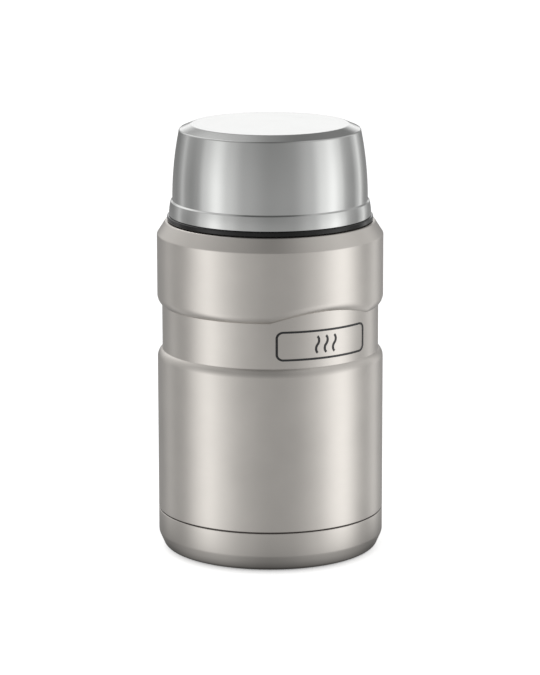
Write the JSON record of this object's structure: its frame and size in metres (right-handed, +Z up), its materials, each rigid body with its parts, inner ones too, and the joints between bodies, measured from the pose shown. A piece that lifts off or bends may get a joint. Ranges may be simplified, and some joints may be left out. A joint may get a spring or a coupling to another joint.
{
  "type": "insulated food jar",
  "caption": "Stainless steel vacuum food jar with a waisted body, a screw-in stopper under a screw-on steel cup, and a black rim ring.",
  "frame": {"origin": "on the floor, under the centre of the foot, which is the bottom centre of the box", "axes": "+Z up along the jar's axis, -Y towards the badge, +X to the right of the badge"},
  "size_m": [0.099, 0.099, 0.1882],
  "materials": {
    "satin_steel": "fine satin brushed stainless steel, warm",
    "polished_steel": "soft polished stainless steel, cool",
    "inner_steel": "electropolished stainless steel",
    "foil": "bright aluminium foil",
    "solder": "fused solder glass bead",
    "getter": "sintered metal powder",
    "sealant": "dark cured sealant",
    "enamel": "thin black enamel print",
    "silicone": "matt black silicone rubber",
    "black_plastic": "fine matt black polypropylene",
    "gloss_black": "glossy black polypropylene",
    "foam": "light foam block"
  },
  "bodies": {
    "jar": {"base_cup": "satin_steel", "seam_sealant": "sealant", "outer_shell": "satin_steel", "inner_vessel": "inner_steel", "vessel_base": "inner_steel", "radiation_foil": "foil", "vacuum_plate": "inner_steel", "port_seal": "solder", "getter_clip": "inner_steel", "getter": "getter", "badge_line": "enamel", "badge_waves": "enamel"},
    "gasket": {"stopper_gasket": "silicone"},
    "stopper": {"stopper_body": "black_plastic", "plug_cap": "black_plastic", "stopper_foam": "foam", "stopper_grip": "black_plastic"},
    "seal": {"cup_seal": "silicone"},
    "cup": {"cup_shell": "polished_steel", "cup_rim": "gloss_black", "bond_ring": "silicone", "cup_bowl": "inner_steel"}
  },
  "joints": [
    {"name": "stopper_lift", "type": "slide", "parent": "jar", "child": "gasket", "axis": [0, 0, 1], "range_m": [0, 0.0365]},
    {"name": "stopper_turn", "type": "hinge", "parent": "gasket", "child": "stopper", "pos_m": [0, 0, 0.155], "axis": [0, 0, 1], "range_deg": [0, 1080]},
    {"name": "cup_lift", "type": "slide", "parent": "stopper", "child": "seal", "axis": [0, 0, 1], "range_m": [0, 0.0365]},
    {"name": "cup_turn", "type": "hinge", "parent": "seal", "child": "cup", "pos_m": [0, 0, 0.165], "axis": [0, 0, 1], "range_deg": [0, 1080]}
  ],
  "couplings": [
    {"joint": "stopper_lift", "follows": "stopper_turn", "m_per_rad": 0.0019099},
    {"joint": "cup_lift", "follows": "cup_turn", "m_per_rad": 0.0019099}
  ]
}
